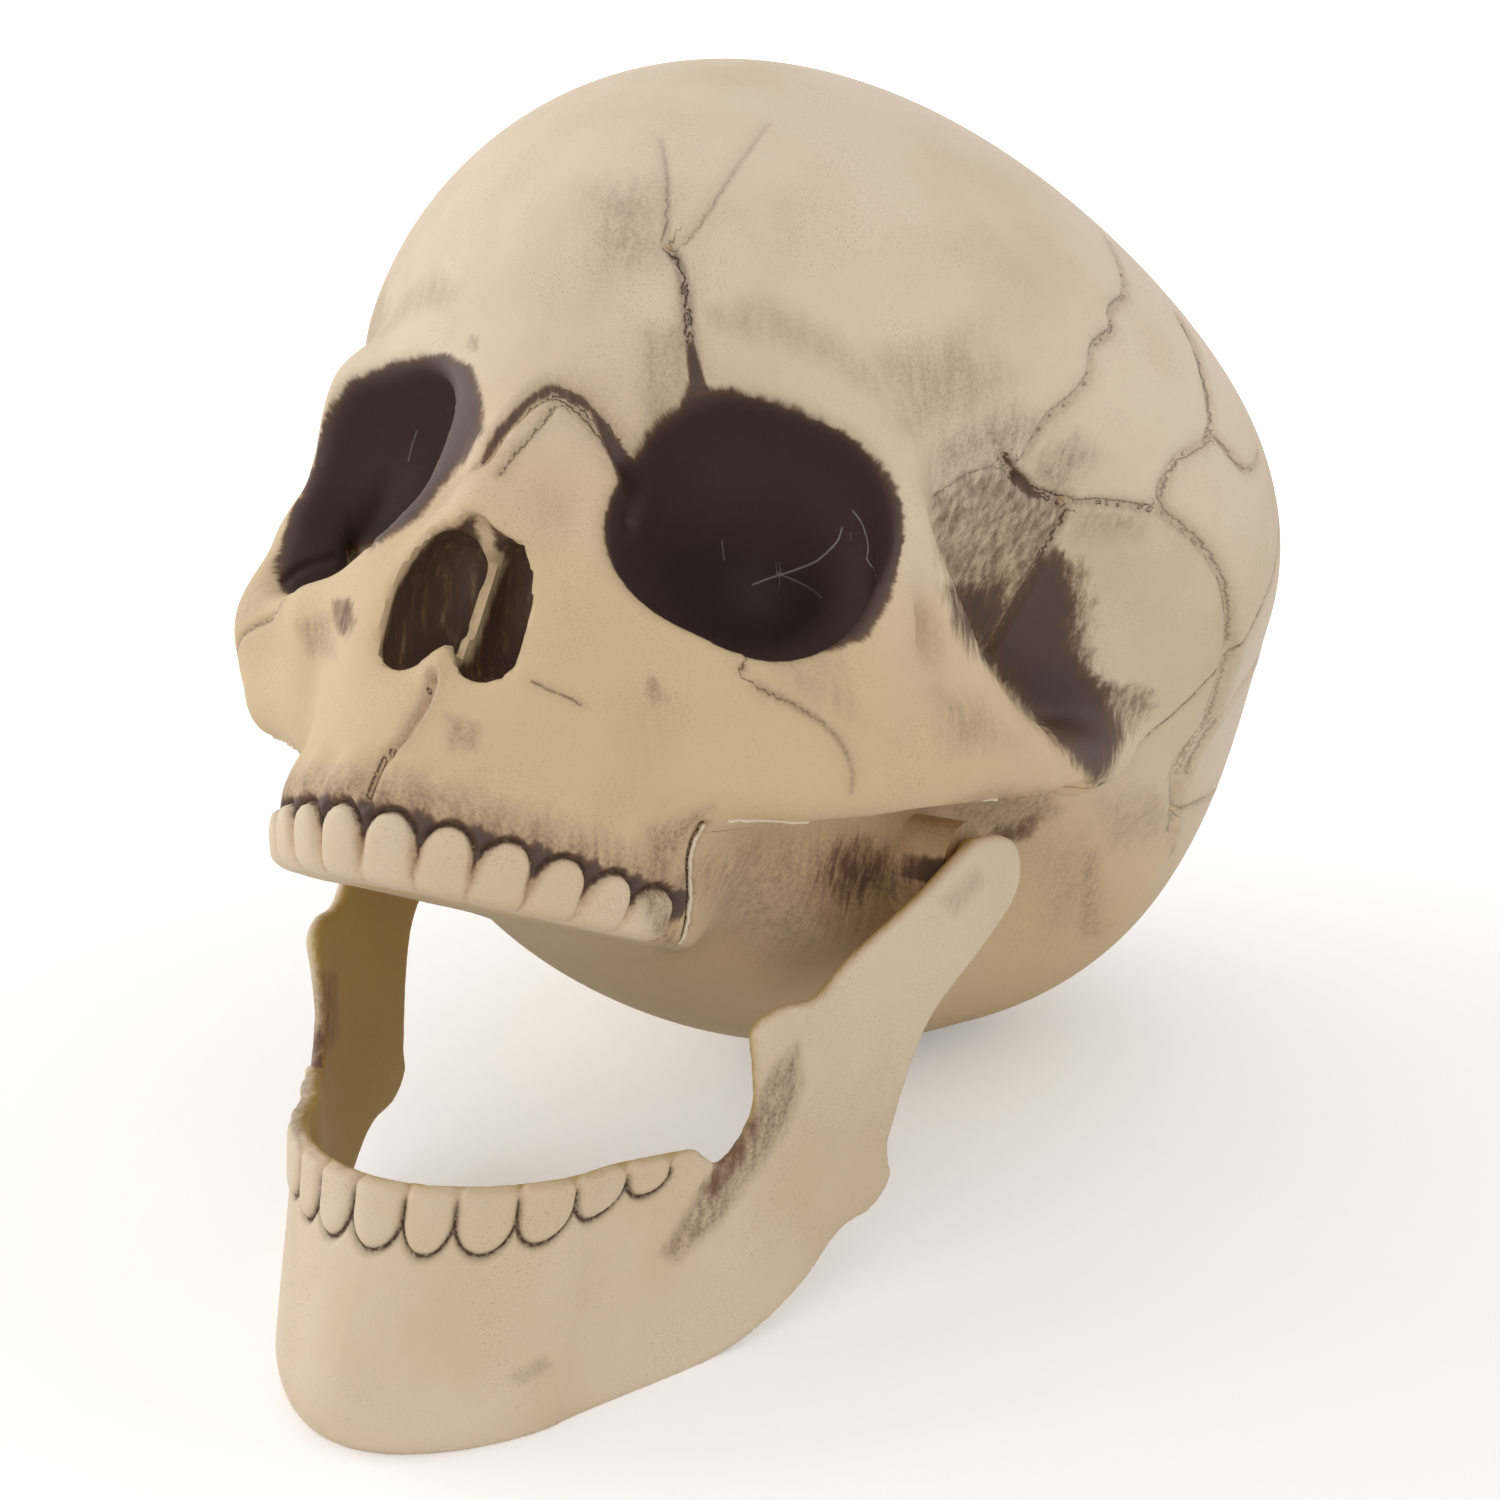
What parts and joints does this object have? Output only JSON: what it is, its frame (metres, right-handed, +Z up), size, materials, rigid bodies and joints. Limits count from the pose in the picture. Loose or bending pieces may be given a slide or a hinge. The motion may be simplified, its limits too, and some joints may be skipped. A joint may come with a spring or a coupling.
{
  "type": "halloween skull decoration",
  "caption": "Life-size hollow plastic human skull that leans back on its chin and occiput, with a loose jaw that swings on hidden pins to open and shut the mouth.",
  "frame": {"origin": "on the surface that the skull stands on, under the middle of its box", "axes": "+Z up, the face looks towards -Y and up, the skull's own left is +X"},
  "size_m": [0.1604, 0.2414, 0.1829],
  "materials": {
    "face_paint": "cream moulded plastic with brown-black wash in the hollows",
    "back_paint": "cream moulded plastic with brown-black wash in the hollows",
    "jaw_paint": "cream moulded plastic with brown wash along the gums",
    "pin_plastic": "bare white plastic",
    "bare_plastic": "bare olive-tan plastic"
  },
  "bodies": {
    "skull": {"face_shell": "face_paint", "back_shell": "back_paint", "slot_washer_left": "bare_plastic", "slot_washer_right": "bare_plastic"},
    "jaw": {"jaw": "jaw_paint", "pivot_pin_left": "pin_plastic", "pivot_pin_right": "pin_plastic"}
  },
  "joints": [
    {"name": "jaw_hinge", "type": "hinge", "parent": "skull", "child": "jaw", "pos_m": [0, -0.00817, 0.05703], "axis": [1, 0, 0], "range_deg": [-23, 0]}
  ]
}
